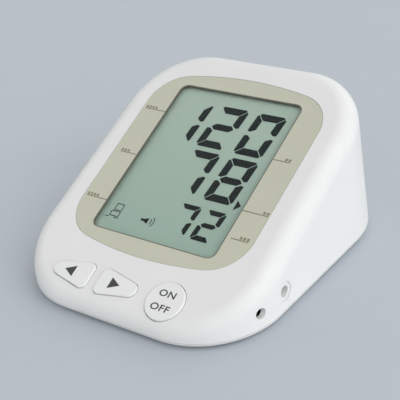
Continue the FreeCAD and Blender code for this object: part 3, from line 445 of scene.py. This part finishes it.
def circuit_board():
    """Solder mask with paler tracks and small bare pads."""
    material, tree, shader = new_material("board_green")
    spots = place(tree)
    cells = add(tree, "ShaderNodeTexVoronoi", {"Vector": spots, "Scale": 1 / track_pitch},
                feature="DISTANCE_TO_EDGE", distance="EUCLIDEAN")
    dots = add(tree, "ShaderNodeTexVoronoi", {"Vector": spots, "Scale": 1 / pad_pitch})
    track = math_node(tree, "LESS_THAN", cells.outputs["Distance"], track_share)
    pad = math_node(tree, "LESS_THAN", dots.outputs["Distance"], pad_share)
    mask = blend(tree, track, mottle(tree, solder_mask, spread=0.06, size=0.01), track_green)
    link(tree, shader, Base_Color=blend(tree, pad, mask, pad_gold), Metallic=pad,
         Roughness=spread_to(tree, noise(tree, size=0.002), low=0.30, high=0.45),
         Normal=bump(tree, math_node(tree, "ADD", track, pad), depth=0.00003))
    return material


def coil_wire():
    """Enamelled copper in fine turns along X, with painted shade between the turns and painted
    highlights on them.
    """
    material, tree, shader = new_material("coil_copper")
    winding = {"Vector": place(tree), "Scale": 1 / coil_pitch, "Distortion": coil_unevenness}
    turns = add(tree, "ShaderNodeTexWave", winding, bands_direction="X").outputs["Fac"]
    shader.inputs["Metallic"].default_value = 1
    # painted shade and highlight: each turn's band runs from shaded to lit copper
    link(tree, shader, Base_Color=blend(tree, turns, copper_shaded, copper_lit),
         Roughness=spread_to(tree, noise(tree, size=0.001), low=0.26, high=0.40),
         Normal=bump(tree, turns, depth=0.00008))
    return material


def cell_jacket():
    """Printed sleeve with a metal collar, and bare steel at both ends."""
    material, tree, shader = new_material("cell_jacket")
    lengthwise = Vector((0, 1, 0))
    low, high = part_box("battery_cells")
    reach = distance_from(tree, lengthwise, (low.y + high.y) / 2)
    collar = math_node(tree, "GREATER_THAN", reach, collar_start)
    square_on = math_node(tree, "ABSOLUTE", facing(tree, lengthwise))
    steel = math_node(tree, "GREATER_THAN", square_on, cell_end_facing)
    sleeve = blend(tree, collar, mottle(tree, sleeve_black, spread=0.1, size=0.004), collar_gold)
    link(tree, shader, Base_Color=blend(tree, steel, sleeve, cell_steel),
         Metallic=math_node(tree, "MAXIMUM", collar, steel),
         Roughness=spread_to(tree, noise(tree, size=0.003, detail=3), low=0.24, high=0.38))
    return material


def lead_pair(node):
    """Two lead jackets, one red and one black, told apart across the pair."""
    material, tree, shader = new_material(node + "_jacket")
    low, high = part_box(node)
    axis = Vector((1, 0, 0))
    if node in ("motor_leads", "inlet_leads"):
        axis = Vector((0, 1, 0))
    side = math_node(tree, "GREATER_THAN", along(tree, axis), (low + high).dot(axis) / 2)
    red = mottle(tree, lead_red, spread=0.08, size=0.003)
    link(tree, shader, Base_Color=blend(tree, side, lead_black, red),
         Roughness=spread_to(tree, noise(tree, size=0.001), low=0.38, high=0.55),
         Normal=bump(tree, noise(tree, size=0.0004), depth=0.00001))
    return material


# Moulded finishes: colour, roughness, size and depth of the grain in metres, spread of the mottling
moulded_finishes = {
    "housing_white": (white_abs, 0.44, 0.00034, 0.000010, 0.012),
    "key_white": (key_abs, 0.33, 0.00022, 0.000005, 0.010),
    "inner_plastic": ((0.60, 0.60, 0.57), 0.50, 0.0004, 0.00001, 0.02),
    "socket_grey": (shade(white_abs, 0.98), 0.42, 0.0003, 0.000008, 0.02),
    "contact_rubber": ((0.42, 0.40, 0.37), 0.75, 0.0003, 0.00002, 0.08),
    "foot_rubber": ((0.055, 0.055, 0.058), 0.82, 0.0003, 0.00003, 0.10),
    "chip_black": ((0.020, 0.020, 0.021), 0.58, 0.00015, 0.00001, 0.10),
    "tube_silicone": ((0.66, 0.66, 0.63), 0.36, 0.0008, 0.00001, 0.04),
    "inlet_black": ((0.018, 0.018, 0.019), 0.46, 0.0003, 0.00001, 0.08),
    "speaker_paper": ((0.035, 0.034, 0.033), 0.88, 0.0005, 0.00005, 0.16),
}

# Plated finishes: colour, roughness, scale of the drawing marks along each axis
plated_finishes = {
    "screw_steel": ((0.56, 0.56, 0.57), 0.34, (1, 1, 0.15)),
    "capacitor_can": ((0.62, 0.63, 0.65), 0.30, (1, 1, 0.1)),
    "contact_nickel": ((0.66, 0.63, 0.58), 0.26, (0.15, 1, 1)),
    "motor_can": ((0.58, 0.58, 0.59), 0.30, (0.1, 1, 1)),
    "brass_eccentric": ((0.70, 0.52, 0.22), 0.28, (1, 0.2, 1)),
    "speaker_metal": ((0.40, 0.40, 0.41), 0.38, (1, 1, 0.3)),
}


def all_materials():
    """Material of each slot in the record, apart from the leads."""
    made = {
        "bezel_beige": bezel_paint(),
        "lens_clear": lens(),
        "lcd_grey_green": lcd_glass(),
        "board_green": circuit_board(),
        "coil_copper": coil_wire(),
        "cell_jacket": cell_jacket(),
    }
    for slot_name, finish in moulded_finishes.items():
        made[slot_name] = moulded(slot_name, *finish)
    for slot_name, finish in plated_finishes.items():
        made[slot_name] = plated(slot_name, *finish)
    return made


def dress_nodes():
    """Materials on the solids, with each pair of leads in a material of its own."""
    made = all_materials()
    for name, node in nodes.items():
        slot = node.material_slots[0]
        slot_name = slot.material.name
        slot.material = lead_pair(name) if slot_name == "lead_jacket" else made[slot_name]


dress_nodes()
segment_ink = ink("lcd_segment", lcd_ink, roughness=0.55, gloss=segment_gloss)
label_ink = ink("label_ink", print_grey, roughness=0.50, gloss=label_gloss)
mark_ink = ink("mark_ink", mark_brown, roughness=0.50, gloss=label_gloss)


# Flat pieces on the panel
def panel_piece(name, outlines, level, thickness, material, body):
    """Thin prisms over closed outlines of (across, up) points, at a level out of the panel."""
    mesh = bpy.data.meshes.new(name)
    build = bmesh.new()
    for outline in outlines:
        lower = [build.verts.new(panel_axes @ Vector((*point, level))) for point in outline]
        face = build.faces.new(lower)
        raised = bmesh.ops.extrude_face_region(build, geom=[face])["geom"]
        rising = [item for item in raised if isinstance(item, bmesh.types.BMVert)]
        bmesh.ops.translate(build, verts=rising, vec=panel_out * thickness)
    bmesh.ops.recalc_face_normals(build, faces=build.faces)
    build.to_mesh(mesh)
    build.free()
    mesh.materials.append(material)
    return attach(show(name, mesh), body)


def display_piece(name, outlines):
    """Dark shapes just over the liquid crystal panel."""
    level = lcd_high.z + segment_lift
    piece = panel_piece(name, outlines, level, segment_thickness, segment_ink, "monitor_body")


def bar(start, end, width):
    """Straight stroke between two points."""
    side = (end - start).orthogonal().normalized() * width / 2
    return [start - side, end - side, end + side, start + side]


def ring_arc(middle, radius, width, start, end, steps=10):
    """Curved stroke about a point."""
    outer = []
    inner = []
    for index in range(steps + 1):
        angle = start + (end - start) * index / steps
        spoke = Vector((math.cos(angle), math.sin(angle)))
        outer.append(middle + spoke * (radius + width / 2))
        inner.append(middle + spoke * (radius - width / 2))
    return outer + inner[::-1]


# Seven-segment digits
lit_segments = {"0": "abcdef", "1": "bc", "2": "abdeg", "7": "abc", "8": "abcdefg"}


def segment_outlines(digit, width, height, stroke):
    """Mitred segments of a digit in an upright box with its low left corner at the origin."""
    half = height / 2
    inner = width - stroke
    gap = segment_gap
    cut = segment_cut_share * stroke
    waist = segment_waist_share * stroke
    point = segment_point_share * stroke
    foot = half + waist
    top = [(cut + gap, height), (width - cut - gap, height),
           (width - cut / 2 - gap, height - cut / 2), (inner - gap, height - stroke),
           (stroke + gap, height - stroke), (cut / 2 + gap, height - cut / 2)]
    upper_right = [(width - cut / 2, height - cut / 2 - gap), (width, height - cut - gap),
                   (width, foot - cut / 4), (width - cut, foot - cut / 2),
                   (inner, foot + cut / 2), (inner, height - stroke - gap)]
    middle = [(point, half), (stroke, half + waist), (inner, half + waist),
              (width - point, half), (inner, half - waist), (stroke, half - waist)]

    def flipped_up(points):
        return [(x, height - y) for x, y in points]

    def flipped_across(points):
        return [(width - x, y) for x, y in points]

    shapes = {
        "a": top,
        "b": upper_right,
        "c": flipped_up(upper_right),
        "d": flipped_up(top),
        "e": flipped_across(flipped_up(upper_right)),
        "f": flipped_across(upper_right),
        "g": middle,
    }
    return [shapes[name] for name in lit_segments[digit]]


def reading(name, digits, boxes, rows, stroke):
    """One line of slanted digits on the display."""
    lean = math.tan(digit_slant)
    outlines = []
    for digit, (left_share, right_share) in zip(digits, boxes):
        low = window_point(left_share, rows[1])
        high = window_point(right_share, rows[0])
        height = high.y - low.y
        width = high.x - low.x - height * lean
        for shape in segment_outlines(digit, width, height, stroke):
            outlines.append([low + Vector((x + y * lean, y)) for x, y in shape])
    display_piece(name, outlines)


# Small signs on the display
def corner_sign():
    """Small open box on a wider one, with a dash at each side of its foot."""
    outlines = []
    for left, right, top, bottom in (corner_frame_shares, corner_foot_shares):
        corners = [window_point(left, top), window_point(right, top),
                   window_point(right, bottom), window_point(left, bottom)]
        for start, end in zip(corners, corners[1:] + corners[:1]):
            outlines.append(bar(start, end, sign_line))
    for left, right in corner_dash_shares:
        start = window_point(left, corner_dash_row_share)
        end = window_point(right, corner_dash_row_share)
        outlines.append(bar(start, end, sign_line))
    return outlines


def speaker_sign():
    """Small loudspeaker with two waves."""
    left, right, top, bottom = speaker_sign_shares
    low = window_point(left, bottom)
    high = window_point(right, top)
    middle = (low.y + high.y) / 2
    width = high.x - low.x
    throat = low.x + speaker_throat_share * width
    mouth = low.x + speaker_mouth_share * width
    back = speaker_back_share * (high.y - low.y)
    horn = [(low.x, middle - back), (throat, middle - back), (mouth, low.y),
            (mouth, high.y), (throat, middle + back), (low.x, middle + back)]
    outlines = [[Vector(point) for point in horn]]
    for share in speaker_wave_shares:
        wave = ring_arc(Vector((mouth, middle)), share * width, sign_line,
                        -speaker_wave_angle, speaker_wave_angle)
        outlines.append(wave)
    return outlines


def display_icons():
    """Small wedge, corner and loudspeaker signs."""
    wedge = [window_point(across, down) for across, down in wedge_shares]
    display_piece("display_icons", [wedge] + corner_sign() + speaker_sign())


# Printed marks on the bezel
def leader(edge, side, row, near, far, blocks):
    """Thin line away from the window with plain short blocks over its outer end."""
    y = window_point(0, row).y
    outlines = [bar(Vector((edge + side * near, y)), Vector((edge + side * far, y)), mark_line)]
    for index in range(blocks):
        x = edge + side * (far - index * mark_block_pitch)
        start = Vector((x, y + mark_block_rise))
        end = start - Vector((side * mark_block_length, 0))
        outlines.append(bar(start, end, mark_block_height))
    return outlines


def bezel_marks():
    """Leader lines beside the readings."""
    level = panel_box("display_bezel")[1].z
    outlines = []
    for row, near, far, blocks in left_marks:
        outlines += leader(window_left, -1, row, near, far, blocks)
    for row, near, far, blocks in right_marks:
        outlines += leader(window_right, 1, row, near, far, blocks)
    piece = panel_piece("bezel_marks", outlines, level, print_thickness, mark_ink, "monitor_body")


# Printed signs on the keys
def arrow_print(side, side_name, shift):
    """Solid triangle on an arrow key, pointing to one side."""
    low, high = panel_box(side_name + "_button")
    middle = (low + high) / 2
    half_height = arrow_print_height / 2
    tip = middle.x + shift + side * arrow_print_length / 2
    base = tip - side * arrow_print_length
    outline = [(base, middle.y - half_height), (tip, middle.y), (base, middle.y + half_height)]
    piece = panel_piece(side_name + "_arrow_print", [outline], high.z, print_thickness, label_ink,
                        side_name + "_key")


def word_mesh(name, word):
    """Word as a thin flat mesh about the origin."""
    curve = bpy.data.curves.new(name + "_curve", "FONT")
    curve.body = word
    curve.align_x = "CENTER"
    curve.align_y = "CENTER"
    curve.size = letter_height / capital_share
    curve.offset = letter_weight
    curve.extrude = print_thickness / 2
    curve.space_character = letter_spacing
    text = show(name + "_curve", curve)
    bpy.context.view_layer.update()
    shaped = text.evaluated_get(bpy.context.evaluated_depsgraph_get())
    mesh = bpy.data.meshes.new_from_object(shaped)
    bpy.data.objects.remove(text)
    return mesh


def word_piece(name, word, middle, level):
    """Word as thin raised ink on the power key."""
    mesh = word_mesh(name, word)
    spot = panel_axes @ Vector((middle.x, middle.y, level + print_thickness / 2))
    stretch = Matrix.Diagonal((letter_stretch, 1, 1, 1))
    mesh.transform(Matrix.Translation(spot) @ panel_axes.to_4x4() @ stretch)
    mesh.materials.clear()
    mesh.materials.append(label_ink)
    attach(show(name, mesh), "power_key")


def power_words():
    """ON over OFF on the power key."""
    low, high = panel_box("power_button")
    middle = ((low + high) / 2).xy + Vector((letters_shift, letters_rise))
    apart = Vector((0, letter_offset))
    word_piece("on_print", "ON", middle + apart, high.z)
    word_piece("off_print", "OFF", middle - apart, high.z)


reading("upper_reading_digits", "120", high_box_shares, high_row_shares, large_stroke)
reading("lower_reading_digits", "78", low_box_shares, low_row_shares, large_stroke)
reading("pulse_digits", "72", pulse_box_shares, pulse_row_shares, small_stroke)
display_icons()
bezel_marks()
arrow_print(-1, "left", left_arrow_shift)
arrow_print(1, "right", right_arrow_shift)
power_words()


# Floor, lamps and camera
def stage_floor():
    """Plain pale floor."""
    mesh = bpy.data.meshes.new("floor")
    sides = ((-1, -1), (1, -1), (1, 1), (-1, 1))
    corners = [(floor_reach * x, floor_reach * y, 0) for x, y in sides]
    mesh.from_pydata(corners, [], [(0, 1, 2, 3)])
    material, tree, shader = new_material("floor_paper")
    link(tree, shader, Base_Color=mottle(tree, floor_grey, spread=0.006, size=0.05),
         Roughness=spread_to(tree, noise(tree, size=0.01), low=0.80, high=0.92))
    mesh.materials.append(material)
    floor = show("floor", mesh)


def lamp(name, azimuth, elevation, level):
    """Wide soft light from one direction, even over the whole floor."""
    light = bpy.data.lights.new(name, "SUN")
    light.angle = lamp_angle
    light.energy = level * math.pi
    turn = math.radians(azimuth)
    rise = math.radians(elevation)
    outward = math.cos(rise)
    back = Vector((math.sin(turn) * outward, -math.cos(turn) * outward, math.sin(rise)))
    source = show(name, light)
    source.location = back
    source.rotation_euler = back.to_track_quat("Z", "Y").to_euler()


def wall_glow(tree):
    """Strength of the world's light: strong at the walls, most to the right, weak overhead."""
    way = add(tree, "ShaderNodeTexCoord", {}).outputs["Generated"]
    parts = add(tree, "ShaderNodeSeparateXYZ", {"Vector": way}).outputs
    rising = {"Value": parts["Z"], "To Min": wall_light, "To Max": top_light}
    even = add(tree, "ShaderNodeMapRange", rising).outputs["Result"]
    rightward = {"Value": parts["X"], "To Max": right_wall_light}
    right = add(tree, "ShaderNodeMapRange", rightward).outputs["Result"]
    return math_node(tree, "ADD", even, right)


def studio_world():
    """White light from the walls, with a pale background where the world itself is seen."""
    world = bpy.data.worlds.new("studio")
    world.use_nodes = True
    bpy.context.scene.world = world
    tree = world.node_tree
    even = tree.nodes["Background"]
    even.inputs["Color"].default_value = (1, 1, 1, 1)
    tree.links.new(wall_glow(tree), even.inputs["Strength"])
    backdrop = (*shade(floor_grey, backdrop_level), 1)
    pale = add(tree, "ShaderNodeBackground", {"Color": backdrop, "Strength": 1})
    path = add(tree, "ShaderNodeLightPath", {}).outputs
    seen = math_node(tree, "MAXIMUM", path["Is Camera Ray"], path["Is Glossy Ray"])
    seen = math_node(tree, "MAXIMUM", seen, path["Is Transmission Ray"])
    mixed = add(tree, "ShaderNodeMixShader", {0: seen, 1: even.outputs[0], 2: pale.outputs[0]})
    tree.links.new(mixed.outputs[0], tree.nodes["World Output"].inputs["Surface"])


def photo_camera():
    """Camera at the photo's viewing angle."""
    data = bpy.data.cameras.new("camera")
    data.sensor_width = camera_sensor
    data.lens = camera_lens
    camera = show("camera", data)
    aim = (camera_eye - camera_target).to_track_quat("Z", "Y").to_matrix().to_4x4()
    roll = Matrix.Rotation(camera_roll, 4, "Z")
    camera.matrix_world = Matrix.Translation(camera_eye) @ aim @ roll
    bpy.context.scene.camera = camera


stage_floor()
for name, (azimuth, elevation, level) in lamp_settings.items():
    lamp(name, azimuth, elevation, level)
studio_world()
photo_camera()
bpy.context.scene.view_settings.view_transform = "Standard"
